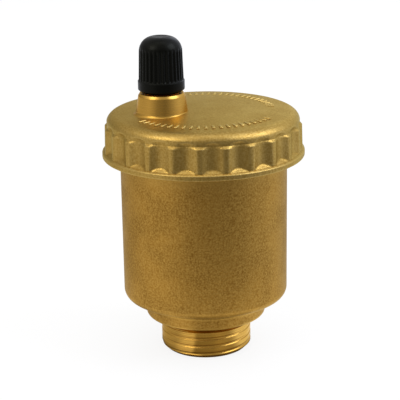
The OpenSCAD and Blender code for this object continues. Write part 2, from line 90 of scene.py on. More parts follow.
def length(label, text, size):
    """A length that a user can change, given in millimetres."""
    return bpy.props.FloatProperty(
        name=label, description=text, default=size * MM, min=0.0, unit="LENGTH", precision=5
    )


def number(label, text, size):
    """A plain number that a user can change."""
    return bpy.props.FloatProperty(name=label, description=text, default=size)


def count(label, text, size):
    """A whole number that a user can change."""
    return bpy.props.IntProperty(name=label, description=text, default=size, min=1)


def turn_angle(label, text, degrees):
    """An angle that a user can change, given in degrees."""
    return bpy.props.FloatProperty(
        name=label, description=text, default=math.radians(degrees), subtype="ANGLE"
    )


def colour(label, text, rgb):
    """A linear colour that a user can change."""
    return bpy.props.FloatVectorProperty(
        name=label, description=text, default=rgb, size=3, min=0.0, max=1.0, subtype="COLOR"
    )


class AIRVENT_PG_body(bpy.types.PropertyGroup):
    """Sizes of the forged bowl and its threads."""

    thread_d: length("Thread diameter", "Across the crests of the inlet thread", 20.955)
    thread_pitch: length("Thread pitch", "Rise of the inlet thread in one turn", 1.814)
    thread_depth: length("Thread depth", "Worn depth of the inlet thread", 0.17)
    thread_flat: number("Crest share", "Flat share of the inlet thread's crests", 0.58)
    thread_top: length("Thread top", "Height where the inlet thread ends", 6.4)
    run_out: length("Run-out", "Height of the cone that ends the inlet thread", 0.5)
    thread_chamfer: length("Thread chamfer", "Chamfer at the end of the inlet thread", 0.85)
    inlet_d: length("Inlet bore", "Diameter of the bore through the stub", 14)
    relief_d: length("Relief neck", "Diameter of the neck under the collar", 20.3)
    collar_d: length("Collar diameter", "Outside of the collar", 27.8)
    collar_z: length("Collar underside", "Height of the collar's underside", 8.294)
    collar_round: length("Collar rounding", "Rounding of the collar's lower edge", 0.5)
    bead_z: length("Bead height", "Height of the forging bead round the collar", 11.0)
    bead_w: length("Bead width", "Width of the forging bead", 1.6)
    bead_h: length("Bead reach", "How far the forging bead stands out", 0.1)
    bowl_z: length("Bowl underside", "Height of the bowl's underside", 12.444)
    bowl_round: length("Bowl rounding", "Rounding above the bowl's lower edge", 1.9)
    bowl_lip: length("Bowl edge", "Tight rounding of the bowl's lower edge", 0.5)
    bowl_rise: length("Bowl rise", "Rise of the bowl's underside to its edge", 0.75)
    bowl_fillet: length("Bowl fillet", "Fillet between collar and bowl", 0.6)
    floor_z: length("Chamber floor", "Height of the floor inside the bowl", 14.644)
    wall: length("Wall", "Wall thickness of the bowl", 2.4)
    shoulder_z: length("Shoulder", "Height of the shoulder under the cover", 45.794)
    rim_d: length("Rim diameter", "Across the crests of the cover thread", 37.6)
    rim_pitch: length("Rim pitch", "Rise of the cover thread in one turn", 1.5)
    rim_depth: length("Rim thread depth", "Crest to root of the cover thread", 0.8)
    edge: length("Edge", "Small chamfers and edge roundings", 0.3)


class AIRVENT_PG_cover(bpy.types.PropertyGroup):
    """Sizes of the fluted cover and its boss."""

    bore_d: length("Bore", "Inside of the cover's skirt", 37.8)
    edge: length("Edge", "Small roundings of the flange and of the bore's lower edge", 0.3)
    pocket_wall: length("Pocket wall", "From the bowl's outside in to the inner pocket", 2.4)
    step_z: length("Seal step", "Height of the step above the rim seal", 53.182)
    ceiling_z: length("Ceiling", "Height of the cover's inner ceiling", 53.782)
    flange_h: length("Flange height", "Height of the lower flange", 1.45)
    flange_lip: length("Flange lip", "How far the flange stands out beyond the ribs", 0.5)
    roof_z: length("Roof edge", "Height of the roof at its edge", 56.282)
    crown_h: length("Crown", "Rise of the roof to its middle", 1.0)
    rib_draft: length("Rib draft", "Inward lean of the ribs", 0.15)
    rib_head_z: length("Rib heads", "Height where the ribs begin to slope back", 53.1)
    rib_head: length("Head slope", "How far the rib heads stand out below the shoulder", 0.5)
    shoulder_w: length("Shoulder width", "Width of the rounded shoulder", 2.45)
    shoulder_h: length("Shoulder height", "Height of the rounded shoulder", 2.1)
    flutes: count("Flutes", "Number of grip flutes", 24)
    flute_w: length("Flute width", "Width of one flute at the rib crests", 4.45)
    flute_depth: length("Flute depth", "Depth of one flute", 0.95)
    flute_drop: length("Flute drop", "Start of a flute's round end below the shoulder", 0.55)
    flute_end: number("Flute end", "How bluntly a flute's round end closes", 2.4)
    flute_ledge: length("Flute ledge", "Height of the sloping ledge at a flute's foot", 0.6)
    flute_fillet: length("Flute fillet", "Softness of the hollow at a flute's foot", 0.6)
    rib_round: length("Rib rounding", "Softness of the forged rib edges", 0.9)
    boss_d: length("Boss diameter", "Outside of the turned boss at its top", 10.45)
    boss_bore_d: length("Boss bore", "Bore of the boss round the nozzle", 7.8)
    boss_taper: length("Boss taper", "Widening of the boss to its foot", 0.5)
    boss_fillet: length("Boss fillet", "Fillet at the foot of the boss", 1.0)
    boss_edge: length("Boss edge", "Inward reach of the chamfer round the boss", 0.35)
    boss_edge_h: length("Boss edge height", "Height of the chamfer round the boss", 0.55)
    boss_lift: length("Boss lift", "How far the boss stands up past the plain cover", 0.35)
    mark_r: length("Front marks", "Distance of the front ticks from the axis", 16.6)
    back_mark_r: length("Back marks", "Distance of the back ticks from the axis", 15.3)
    mark_start: turn_angle("Front arc", "Where the front ticks begin", -163.0)
    back_mark_start: turn_angle("Back arc", "Where the back ticks begin", -12.0)
    mark_step: turn_angle("Mark step", "Angle from one tick to the next", 5.5)
    marks: count("Front ticks", "Number of ticks in the front arc", 21)
    back_marks: count("Back ticks", "Number of ticks in the back arc", 19)
    mark_l: length("Mark length", "Length of one raised tick", 2.0)
    mark_w: length("Mark width", "Width of one raised tick", 0.7)
    mark_h: length("Mark height", "Height of one raised tick above the roof", 0.2)


class AIRVENT_PG_cap(bpy.types.PropertyGroup):
    """Sizes of the ribbed dust cap."""

    bore_d: length("Bore", "Inside of the cap", 8.1)
    ceiling_z: length("Ceiling", "Height of the cap's inner ceiling", 71.582)
    foot_d: length("Grip foot", "Diameter of the grip at its foot", 10.0)
    top_d: length("Grip top", "Diameter of the grip under the dome", 9.6)
    ring_lift: length("Ring lift", "How far the cap's edge stands above the plain one", 0.2)
    ring_h: length("Ring height", "Height of the smooth foot ring", 2.5)
    ring_chamfer: length("Ring chamfer", "Chamfer under the foot ring", 0.6)
    dome_h: length("Dome height", "Height of the domed top", 3.3)
    flat_d: length("Dome flat", "Diameter of the flat on the dome", 3.2)
    dimple: length("Dimple", "Depth of the moulding dimple on the flat", 0.12)
    flutes: count("Flutes", "Number of fine grip flutes", 30)
    flute_depth: length("Flute depth", "Depth of one grip flute", 0.26)
    edge: length("Edge", "Small edge roundings", 0.15)


class AIRVENT_PG_finish(bpy.types.PropertyGroup):
    """Colours of the finishes."""

    forged: colour("Forged brass", "Blasted brass skin", (0.35, 0.176, 0.0275))
    forged_dark: colour("Forged shade", "Duller patches of the blasted skin", (0.265, 0.130, 0.0195))
    # Also blended in as the painted light band that brightens the bowl's shade under the cover
    forged_worn_and_painted_light: colour("Forged wear", "Rubbed edges of the blasted skin", (0.54, 0.32, 0.072))
    forged_rim: colour("Forged rim", "Blasted skin seen along its surface", (0.80, 0.78, 0.64))
    cover: colour("Cover brass", "Finer blasted skin of the cover", (0.36, 0.213, 0.043))
    cover_dark: colour("Cover shade", "Duller patches of the cover", (0.32, 0.186, 0.036))
    cover_worn: colour("Cover wear", "Rubbed edges of the cover", (0.58, 0.40, 0.125))
    cover_rim: colour("Cover rim", "Cover skin seen along its surface", (0.92, 0.90, 0.62))
    turned: colour("Turned brass", "Machined brass", (0.56, 0.322, 0.064))
    turned_dark: colour("Turned shade", "Tool marks in machined brass", (0.44, 0.233, 0.040))
    turned_rim: colour("Turned rim", "Machined brass seen along its surface", (0.95, 0.82, 0.58))
    cap: colour("Cap plastic", "Black moulded plastic", (0.0012, 0.0012, 0.001))
    cap_worn: colour("Cap edges", "Scuffed edges of the cap", (0.004, 0.004, 0.0036))
    cap_gloss: colour("Cap gloss", "Tint of the gloss on the cap", (1.0, 1.0, 0.8))
    steel: colour("Steel", "Stainless sheet and wire", (0.52, 0.52, 0.51))
    float_white: colour("Float plastic", "Natural moulded plastic", (0.76, 0.73, 0.63))
    lever_white: colour("Lever plastic", "Pale grey moulded plastic", (0.60, 0.60, 0.57))
    rubber: colour("Rubber", "Black seal rubber", (0.010, 0.010, 0.010))
    floor: colour("Floor", "Pale studio floor", (0.92, 0.92, 0.92))


class AIRVENT_PG_stage(bpy.types.PropertyGroup):
    """Camera and light of the studio."""

    distance: length("Camera distance", "From the part's axis, along the floor", 291.25)
    height: length("Camera height", "Above the floor", 126.38)
    azimuth: turn_angle("Camera azimuth", "Round the part from straight in front", -20.0)
    aim: turn_angle("Camera aim", "How far the camera looks past the axis", 0.194)
    pitch: turn_angle("Camera pitch", "Downward tilt of the camera", 17.39)
    roll: turn_angle("Camera roll", "Turn of the camera about its own axis", -0.95)
    lens: number("Lens", "Focal length in millimetres on a 36 mm sensor", 119.28)
    world: number("World level", "Strength of the surrounding light", 1.0)
    floor_glow: number("Floor whiteness", "Share of plain white that the camera sees in the floor", 0.85)
    top_level: number("Top light", "Brightness of the overhead soft box", 0.6)
    left_level: number("Left light", "Brightness of the left soft box", 2.6)
    right_level: number("Right light", "Brightness of the right soft box", 2.9)
    back_level: number("Back light", "Brightness of the soft box behind the part", 1.0)


# Outline helpers

def oval(x, z, wide, high, start, end, steps):
    """Points of an elliptical arc in an outline, with its angles in degrees."""
    turns = [math.radians(start + (end - start) * i / steps) for i in range(steps + 1)]
    return [(x + wide * math.cos(a), z + high * math.sin(a)) for a in turns]


def arc(x, z, radius, start, end, steps=8):
    """Points of a round arc in an outline, with its angles in degrees."""
    return oval(x, z, radius, radius, start, end, steps)


def rows(radius, low, high, gap):
    """Evenly spaced points up a straight wall, both ends included."""
    steps = max(1, round((high - low) / gap))
    return [(radius, low + (high - low) * i / steps) for i in range(steps + 1)]


def held(outline):
    """Adds points near both ends of each long straight, so that smooth shading stays flat there."""
    points = []
    for here, there in zip(outline, outline[1:] + outline[:1]):
        points.append(here)
        span = math.dist(here, there)
        if span > LONG_SPAN:
            for share in (HOLD_GAP / span, 1 - HOLD_GAP / span):
                points.append(tuple(a + (b - a) * share for a, b in zip(here, there)))
    return points


def soft_least(a, b, width):
    """The smaller of two sizes, rounded where they are nearly equal."""
    share = min(1.0, max(0.0, 0.5 + 0.5 * (b - a) / width))
    return b + (a - b) * share - width * share * (1 - share)


def soft_most(a, b, width):
    """The larger of two sizes, rounded where they are nearly equal."""
    return -soft_least(-a, -b, width)


# Modelling helpers

def deselect():
    """Leaves nothing selected, so that operators act on the new piece alone."""
    if bpy.context.object and bpy.context.object.mode != "OBJECT":
        bpy.ops.object.mode_set(mode="OBJECT")
    bpy.ops.object.select_all(action="DESELECT")


def pick(piece):
    """Leaves one piece selected and active."""
    deselect()
    bpy.context.view_layer.objects.active = piece
    piece.select_set(True)


def turn_piece(name, outline, steps, x=0.0):
    """Draws a closed outline out of one vertex and spins it about an upright axis at x."""
    deselect()
    bpy.ops.mesh.primitive_plane_add(size=MM)
    piece = bpy.context.object
    piece.name = name
    piece.data.name = name
    bpy.ops.object.mode_set(mode="EDIT")
    bpy.ops.mesh.select_all(action="SELECT")
    bpy.ops.mesh.merge(type="CENTER")
    path = held(outline)
    path.append(path[0])
    bpy.ops.transform.translate(value=(x + path[0][0], 0, path[0][1]))
    for here, there in zip(path, path[1:]):
        step = (there[0] - here[0], 0, there[1] - here[1])
        bpy.ops.mesh.extrude_vertices_move(TRANSFORM_OT_translate={"value": step})
    bpy.ops.mesh.select_all(action="SELECT")
    bpy.ops.mesh.spin(steps=steps, angle=FULL_TURN, center=(x, 0, 0), axis=(0, 0, 1))
    bpy.ops.mesh.select_all(action="SELECT")
    bpy.ops.mesh.remove_doubles(threshold=2 * MICRON)
    bpy.ops.mesh.normals_make_consistent(inside=False)
    bpy.ops.object.mode_set(mode="OBJECT")
    return piece


def reshape(piece, move, x=0.0):
    """Moves each vertex to the radius that move gives for its radius, angle and height."""
    for vertex in piece.data.vertices:
        east, north, z = vertex.co.x - x, vertex.co.y, vertex.co.z
        radius = math.hypot(east, north)
        if radius < MICRON:
            continue
        share = move(radius, math.atan2(north, east), z) / radius
        vertex.co = (x + east * share, north * share, z)
    piece.data.update()


def thread_radius(crest, pitch, depth, turn, z, flat=0.25, root=0.85):
    """Radius of a right-hand thread with softly rounded crests and roots."""
    phase = (z / pitch - turn / FULL_TURN) % 1.0
    slope = abs(2 * phase - 1)
    dip = min(1.0, max(0.0, (slope - flat) / (root - flat)))
    return crest - depth * dip * dip * (3 - 2 * dip)


def combine(piece, other, operation):
    """Joins another piece to this one, or cuts it away, and removes it."""
    pick(piece)
    bpy.ops.object.modifier_add(type="BOOLEAN")
    boolean = piece.modifiers[-1]
    boolean.operation = operation
    boolean.solver = "EXACT"
    boolean.object = other
    bpy.ops.object.modifier_apply(modifier=boolean.name)
    bpy.data.objects.remove(other, do_unlink=True)


def smooth(piece, degrees):
    """Smooth shading with sharp edges kept past an angle."""
    pick(piece)
    bpy.ops.object.shade_smooth_by_angle(angle=math.radians(degrees))


def mark_edges(piece, tightest):
    """Stores how far each vertex bulges, from -1 in a tight hollow to 1 on a tight edge."""
    mesh = piece.data
    place = np.empty(len(mesh.vertices) * 3, np.float32)
    normal = np.empty(len(mesh.vertices) * 3, np.float32)
    ends = np.empty(len(mesh.edges) * 2, np.int32)
    mesh.vertices.foreach_get("co", place)
    mesh.vertices.foreach_get("normal", normal)
    mesh.edges.foreach_get("vertices", ends)
    place, normal, ends = place.reshape(-1, 3), normal.reshape(-1, 3), ends.reshape(-1, 2)
    total = np.zeros(len(place))
    times = np.zeros(len(place))
    for near, far in ((ends[:, 0], ends[:, 1]), (ends[:, 1], ends[:, 0])):
        along = place[far] - place[near]
        spans = np.maximum((along * along).sum(1), MICRON * MICRON)
        np.add.at(total, near, -2 * (along * normal[near]).sum(1) / spans)
        np.add.at(times, near, 1)
    bulge = np.clip(total / np.maximum(times, 1) * tightest, -1, 1)
    attribute = mesh.attributes.new("bulge", "FLOAT", "POINT")
    attribute.data.foreach_set("value", bulge.astype(np.float32))


def paint(piece, *materials):
    """Gives a piece its materials in order."""
    piece.data.materials.clear()
    for material in materials:
        piece.data.materials.append(material)


def hand_over(piece, body, slot, *nodes):
    """Says which body a piece rides on and hides the nodes that it stands for. The finish slot is not
    used.
    """
    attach(piece, body)
    if nodes:
        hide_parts(*nodes)


# Material helpers

# Places of a Mix node's colour sockets, which follow those for numbers and vectors
MIX_FIRST, MIX_SECOND, MIX_RESULT = 6, 7, 2
# Range of a noise that is stretched into a full mask
FINE_MASK = (0.35, 0.65)
BROAD_MASK = (0.38, 0.62)


def put(tree, socket, value):
    """Feeds one input: another socket is linked to it, a plain value is stored in it."""
    if isinstance(value, bpy.types.NodeSocket):
        tree.links.new(value, socket)
    elif socket.type == "RGBA":
        socket.default_value = (*value, 1.0)
    else:
        socket.default_value = value


def feed(tree, made, **values):
    """Feeds a node's inputs by name, with an underscore for each space."""
    for name, value in values.items():
        put(tree, made.inputs[name.replace("_", " ")], value)


def node(tree, kind, **values):
    """A new shader node with its inputs fed by name."""
    made = tree.nodes.new("ShaderNode" + kind)
    feed(tree, made, **values)
    return made


def remap(tree, value, low=0.0, high=1.0, to_low=0.0, to_high=1.0):
    """A value stretched from one range to another and held there."""
    ends = {"From_Min": low, "From_Max": high, "To_Min": to_low, "To_Max": to_high}
    return node(tree, "MapRange", Value=value, **ends).outputs["Result"]


def blend(tree, share, first, second):
    """Two colours mixed by a share; each is a socket or a plain colour."""
    made = node(tree, "Mix")
    made.data_type = "RGBA"
    put(tree, made.inputs["Factor"], share)
    put(tree, made.inputs[MIX_FIRST], first)
    put(tree, made.inputs[MIX_SECOND], second)
    return made.outputs[MIX_RESULT]


def sums(tree, operation, first, second=0.0, clamp=False):
    """Two values joined by a sum; each is a socket or a plain number."""
    made = node(tree, "Math")
    made.operation = operation
    made.use_clamp = clamp
    put(tree, made.inputs[0], first)
    put(tree, made.inputs[1], second)
    return made.outputs[0]


def height_of(tree, place):
    """The upright part of a place."""
    return node(tree, "SeparateXYZ", Vector=place).outputs["Z"]


def new_group(name, inputs, outputs):
    """An empty shader node group that reads a place, with its sockets and end nodes."""
    tree = bpy.data.node_groups.new(name, "ShaderNodeTree")
    tree.interface.new_socket("Vector", in_out="INPUT", socket_type="NodeSocketVector")
    for labels, side in ((inputs, "INPUT"), (outputs, "OUTPUT")):
        for label in labels:
            tree.interface.new_socket(label, in_out=side, socket_type="NodeSocketFloat")
    start = tree.nodes.new("NodeGroupInput")
    end = tree.nodes.new("NodeGroupOutput")
    return tree, start.outputs, end


def place_group(tree, group, **values):
    """A node group in a material, with its inputs fed by name."""
    made = node(tree, "Group")
    made.node_tree = group
    feed(tree, made, **values)
    return made.outputs


def grain_group():
    """Pitted skin: fine pits, coarse dents and broad dull patches."""
    name = "pitted skin"
    if name in bpy.data.node_groups:
        return bpy.data.node_groups[name]
    tree, start, end = new_group(name, ("Pit Scale", "Patch Scale"), ("Height", "Pits", "Patches"))
    place, pit_scale, patch_scale = start["Vector"], start["Pit Scale"], start["Patch Scale"]
    fine = node(tree, "TexNoise", Vector=place, Scale=pit_scale, Detail=4.0, Roughness=0.6)
    pits = fine.outputs["Fac"]
    dents = node(tree, "TexVoronoi", Vector=place, Scale=pit_scale).outputs["Distance"]
    patches = node(tree, "TexNoise", Vector=place, Scale=patch_scale, Detail=3.0).outputs["Fac"]
    dent_share = 0.6
    height = sums(tree, "ADD", pits, sums(tree, "MULTIPLY", dents, dent_share))
    feed(tree, end, Height=height)
    feed(tree, end, Pits=remap(tree, pits, *FINE_MASK), Patches=remap(tree, patches, *BROAD_MASK))
    return tree


def tool_lines_group():
    """Fine rings left by a turning tool, round the place's upright axis."""
    name = "tool lines"
    if name in bpy.data.node_groups:
        return bpy.data.node_groups[name]
    tree, start, end = new_group(name, ("Line Scale",), ("Height", "Streaks"))
    east, north, up = node(tree, "SeparateXYZ", Vector=start["Vector"]).outputs
    square = sums(tree, "ADD", sums(tree, "MULTIPLY", east, east), sums(tree, "MULTIPLY", north, north))
    along = sums(tree, "ADD", up, sums(tree, "SQRT", square))
    lines = node(tree, "TexNoise", Scale=1.0, Detail=4.0)
    lines.noise_dimensions = "1D"
    feed(tree, lines, W=sums(tree, "MULTIPLY", along, start["Line Scale"]))
    height = lines.outputs["Fac"]
    feed(tree, end, Height=height, Streaks=remap(tree, height, *FINE_MASK))
    return tree


def new_material(name, slot):
    """A material with its shader, the place on the piece and the shader's tree."""
    material = bpy.data.materials.new(name)
    material.use_nodes = True
    material["finish_slot"] = slot
    tree = material.node_tree
    shader = tree.nodes["Principled BSDF"]
    place = node(tree, "TexCoord").outputs["Object"]
    return material, tree, shader, place


def bump(tree, height, strength, depth):
    """The surface's normal, roughened by a height."""
    return node(tree, "Bump", Strength=strength, Distance=depth, Height=height).outputs["Normal"]


def bulge_of(tree):
    """The stored bulge of the surface, from hollow to edge."""
    made = node(tree, "Attribute")
    made.attribute_name = "bulge"
    return made.outputs["Fac"]


# Materials

# Tool lines in a metre of the coarse and the fine turned faces
COARSE_LINES, FINE_LINES = 4500.0, 11000.0
# Blasted skin of the cover and its ticks
COVER_SKIN = {"grain": 0.55, "rub": 0.35, "sharp": 0.8, "rough": 0.38}


def blasted_brass(name, tones, grain, rub, sharp, rough, painted_light_band=None, matt=None):
    """Shot-blasted brass skin, duller in hollows and rubbed bright on edges. The painted light band and
    matt give the heights between which a painted brightening and more roughness set in, with their least
    and most."""
    bright, dull, worn, rim = tones
    edge_start, deep, shallow, hollow_share = 0.12, -0.6, -0.08, 0.45
    patchy, polish = 0.04, 0.1
    material, tree, shader, place = new_material(name, "forged_brass")
    skin = place_group(tree, grain_group(), Vector=place, Pit_Scale=2500.0, Patch_Scale=170.0)
    bulge = bulge_of(tree)
    rubbed = remap(tree, bulge, edge_start, sharp, 0.0, rub)
    hollow = remap(tree, bulge, deep, shallow, hollow_share, 0.0)
    tone = blend(tree, skin["Patches"], dull, bright)
    tone = blend(tree, sums(tree, "MULTIPLY", skin["Pits"], grain), tone, worn)
    tone = blend(tree, rubbed, tone, worn)
    tone = blend(tree, hollow, tone, dull)
    even = remap(tree, skin["Patches"], to_low=rough + patchy, to_high=rough - patchy)
    # Painted light: over the band's heights the wear tone is blended in as a painted brightening
    if painted_light_band:
        tone = blend(tree, remap(tree, height_of(tree, place), *painted_light_band), tone, worn)
    if matt:
        even = sums(tree, "ADD", even, remap(tree, height_of(tree, place), *matt))
    even = sums(tree, "SUBTRACT", even, sums(tree, "MULTIPLY", rubbed, polish))
    normal = bump(tree, skin["Height"], grain, 60 * MICRON)
    feed(tree, shader, Base_Color=tone, Roughness=even, Metallic=1.0, Specular_Tint=rim, Normal=normal)
    return material


def body_brass(finish):
    """Coarse blasted skin of the bowl, with a painted light band that brightens it towards the cover."""
    tones = finish.forged, finish.forged_dark, finish.forged_worn_and_painted_light, finish.forged_rim
    # Painted light band: heights and shares of the painted brightening of the bowl's shade just under
    # the cover's edge
    painted_light_band = 42.0 * MM, 45.8 * MM, 0.0, 0.5
    return blasted_brass("body brass", tones, grain=0.75, rub=0.75, sharp=0.45, rough=0.46, painted_light_band=painted_light_band)


def cover_brass(finish):
    """Finer, paler blasted skin of the cover, more matt on its roof."""
    tones = finish.cover, finish.cover_dark, finish.cover_worn, finish.cover_rim
    roof = 55.4 * MM, 56.3 * MM, 0.0, 0.1
    return blasted_brass("cover brass", tones, **COVER_SKIN, matt=roof)


def tick_brass(finish):
    """Rubbed skin of the raised ticks."""
    tones = finish.cover_worn, finish.cover, finish.cover_worn, finish.cover_rim
    return blasted_brass("tick brass", tones, **COVER_SKIN)


def turned_brass(finish, name, rough, lines_per_m, x=0.0):
    """Bright machined brass with tool lines round an axis at x."""
    streaky = 0.05
    material, tree, shader, place = new_material(name, "machined_brass")
    centred = node(tree, "Mapping", Vector=place, Location=(-x, 0.0, 0.0)).outputs["Vector"]
    lines = place_group(tree, tool_lines_group(), Vector=centred, Line_Scale=lines_per_m)
    tone = blend(tree, lines["Streaks"], finish.turned_dark, finish.turned)
    even = remap(tree, lines["Streaks"], to_low=rough + streaky, to_high=rough - streaky)
    normal = bump(tree, lines["Height"], strength=0.1, depth=12 * MICRON)
    feed(tree, shader, Base_Color=tone, Roughness=even, Metallic=1.0, Normal=normal)
    feed(tree, shader, Specular_Tint=finish.turned_rim)
    return material


def cap_plastic(finish):
    """Black moulded plastic with a fine texture and scuffed edges."""
    material, tree, shader, place = new_material("cap plastic", "cap_plastic")
    skin = place_group(tree, grain_group(), Vector=place, Pit_Scale=3200.0, Patch_Scale=420.0)
    scuffed = remap(tree, bulge_of(tree), low=0.15, high=0.9, to_high=0.5)
    tone = blend(tree, scuffed, finish.cap, finish.cap_worn)
    even = remap(tree, skin["Patches"], to_low=0.25, to_high=0.34)
    normal = bump(tree, skin["Height"], strength=0.12, depth=30 * MICRON)
    feed(tree, shader, Base_Color=tone, Roughness=even, Normal=normal)
    feed(tree, shader, Specular_IOR_Level=0.09, Specular_Tint=finish.cap_gloss)
    return material


def plain_finish(name, slot, rgb, low, high, pit_scale, metal):
    """A moulded, rolled or rubber finish with a fine grain and soft patches."""
    patch_scale = pit_scale / 8
    shade = tuple(part * 0.8 for part in rgb)
    material, tree, shader, place = new_material(name, slot)
    skin = place_group(tree, grain_group(), Vector=place, Pit_Scale=pit_scale, Patch_Scale=patch_scale)
    tone = blend(tree, skin["Patches"], shade, rgb)
    even = remap(tree, skin["Pits"], to_low=low, to_high=high)
    normal = bump(tree, skin["Height"], strength=0.1, depth=20 * MICRON)
    feed(tree, shader, Base_Color=tone, Roughness=even, Metallic=metal, Normal=normal)
    return material


# Pieces

# Rows of points in one pitch of the inlet thread and of the rim thread
THREAD_ROWS, RIM_ROWS = 32, 14
# Steps of a turned piece: the whole bowl, one cover flute, the boss and one cap flute
BODY_STEPS, FLUTE_STEPS, BOSS_STEPS, CAP_FLUTE_STEPS = 240, 22, 96, 10
# Roundings that count as a tight edge on brass and on the cap
BRASS_EDGE, CAP_EDGE = 0.8 * MM, 0.5 * MM


def bead_outline(size, steps=8):
    """Outline of the soft bead round the collar."""
    points = []
    for step in range(-steps, steps + 1):
        swell = 0.5 + 0.5 * math.cos(math.pi * step / steps)
        z = size.bead_z + size.bead_w / 2 * step / steps
        points.append((size.collar_d / 2 + size.bead_h * swell, z))
    return points


def bowl_edge_outline(size):
    """Outline of the bowl's tight lower edge and the wider rounding above it."""
    # Degrees below level where the rounding meets the edge, and where the edge ends
    lean, under = 40, 80
    wide, tight = size.bowl_round, size.bowl_lip
    round_x = BODY_HIGH.x - wide
    inner = wide - tight
    lip_x = round_x + inner * math.cos(math.radians(lean))
    lip_z = size.bowl_z + size.bowl_rise + tight * math.sin(math.radians(under))
    round_z = lip_z + inner * math.sin(math.radians(lean))
    return arc(lip_x, lip_z, tight, -under, -lean, 6) + arc(round_x, round_z, wide, -lean, 0, 10)[1:]


def body_outline(size):
    """Outline of the bowl from the stub's end, up the outside and back down the bore."""
    thread_r, inlet_r, relief_r = size.thread_d / 2, size.inlet_d / 2, size.relief_d / 2
    collar_r, body_r, rim_r = size.collar_d / 2, BODY_HIGH.x, size.rim_d / 2
    bore_r = body_r - size.wall
    edge, soft, fillet = size.edge, size.collar_round, size.bowl_fillet
    rim_z, root_r = BODY_HIGH.z, rim_r - size.rim_depth
    chamber_round = 5 * edge
    run_out = size.thread_top + size.run_out
    rim_thread_z = size.shoulder_z + 2 * edge
    points = [(inlet_r + edge, 0.0)]
    points += rows(thread_r, 0.0, run_out, size.thread_pitch / THREAD_ROWS)
    points += [(relief_r, run_out + edge)]
    points += arc(relief_r + edge, size.collar_z - edge, edge, 180, 90, 4)
    points += arc(collar_r - soft, size.collar_z + soft, soft, -90, 0)
    points += bead_outline(size)
    points += arc(collar_r + fillet, size.bowl_z - fillet, fillet, 180, 90)
    points += bowl_edge_outline(size)
    points += arc(body_r - edge, size.shoulder_z - edge, edge, 0, 90, 4)
    points += [(root_r, size.shoulder_z)]
    points += rows(rim_r, rim_thread_z, rim_z - edge, size.rim_pitch / RIM_ROWS)
    points += [(rim_r - edge, rim_z), (bore_r + edge, rim_z), (bore_r, rim_z - edge)]
    points += arc(bore_r - chamber_round, size.floor_z + chamber_round, chamber_round, 0, -90)
    points += [(inlet_r, size.floor_z), (inlet_r, edge)]
    return points


def make_body(size, finish):
    """Forged bowl with helical threads on the stub and the rim."""
    piece = turn_piece("vent_body", body_outline(size), BODY_STEPS)
    thread_r, rim_r = size.thread_d / 2, size.rim_d / 2
    stub_wall_r = (size.inlet_d + size.relief_d) / 4
    rim_wall_r = (BODY_HIGH.x - size.wall + rim_r - size.rim_depth) / 2
    run_out, run_out_slope = size.thread_top + size.run_out, 2

    def cut_threads(radius, turn, z):
        if z < run_out + MICRON and radius > stub_wall_r:
            depth = size.thread_depth
            crest = thread_radius(thread_r, size.thread_pitch, depth, turn, z, size.thread_flat)
            lead = thread_r - size.thread_chamfer + z
            tail = thread_r - (z - size.thread_top) * run_out_slope
            return min(crest, lead, tail)
        if z > size.shoulder_z + size.edge and radius > rim_wall_r:
            crest = thread_radius(rim_r, size.rim_pitch, size.rim_depth, turn, z)
            return min(crest, rim_r + BODY_HIGH.z - size.edge - z)
        return radius

    reshape(piece, cut_threads)
    mark_edges(piece, BRASS_EDGE)
    smooth(piece, degrees=40)
    turned = turned_brass(finish, "turned brass", rough=0.21, lines_per_m=COARSE_LINES)
    paint(piece, body_brass(finish), turned)
    for face in piece.data.polygons:
        middle = face.center
        radius = math.hypot(middle.x, middle.y)
        outside = radius > BODY_HIGH.x - size.wall + MICRON
        on_bowl = size.collar_z - MICRON < middle.z < size.shoulder_z - MICRON
        on_collar = radius > size.relief_d / 2 + size.edge
        face.material_index = 0 if on_bowl and (outside or on_collar) else 1
    hand_over(piece, "body", "forged_brass", "body")


def roof_radius(size):
    """Radius of the roof inside the rounded shoulder."""
    return FLANGE_R - size.flange_lip - size.rib_draft - size.rib_head - size.shoulder_w


def roof_height(size, radius):
    """Height of the crowned roof at a distance from the axis."""
    return size.roof_z + size.crown_h * (1 - (radius / roof_radius(size)) ** 2)


def cover_outline(size):
    """Outline of the cover without its boss, from the skirt's lower edge round to the bore."""
    bore_r, pocket_r = size.bore_d / 2, BODY_HIGH.x - size.pocket_wall
    rib_r = FLANGE_R - size.flange_lip
    low, edge = COVER_LOW.z, size.edge
    flange_z = low + size.flange_h
    head_r = rib_r - size.rib_draft
    wall_r = head_r - size.rib_head
    shoulder_z = size.roof_z - size.shoulder_h
    top_r = roof_radius(size)
    gap, rings = 0.1 * MM, 10
    points = arc(bore_r + edge, low + edge, edge, 180, 270, 4)
    points += arc(FLANGE_R - edge, low + edge, edge, -70, 0, 5)
    points += arc(FLANGE_R - edge, flange_z - 1.5 * edge, edge, 0, 45, 4)
    ledge_z = flange_z + size.flute_ledge
    points += rows(rib_r, flange_z, ledge_z, 0.5 * gap)
    points += rows(rib_r, ledge_z + 2 * gap, size.rib_head_z - 2 * gap, 2.5 * gap)
    slope = rows(0.0, 0.0, size.rib_head, gap)
    points += [(head_r - rise, size.rib_head_z + rise) for _, rise in slope]
    points += rows(wall_r, size.rib_head_z + size.rib_head + gap, shoulder_z - gap, 1.2 * gap)
    points += oval(top_r, shoulder_z, size.shoulder_w, size.shoulder_h, 0, 90, 22)
    for ring in range(1, rings):
        radius = top_r * (1 - ring / rings)
        points.append((radius, roof_height(size, radius)))
    points += [(0.0, size.roof_z + size.crown_h), (0.0, size.ceiling_z), (pocket_r, size.ceiling_z)]
    points += [(pocket_r, size.step_z), (bore_r, size.step_z)]
    return points


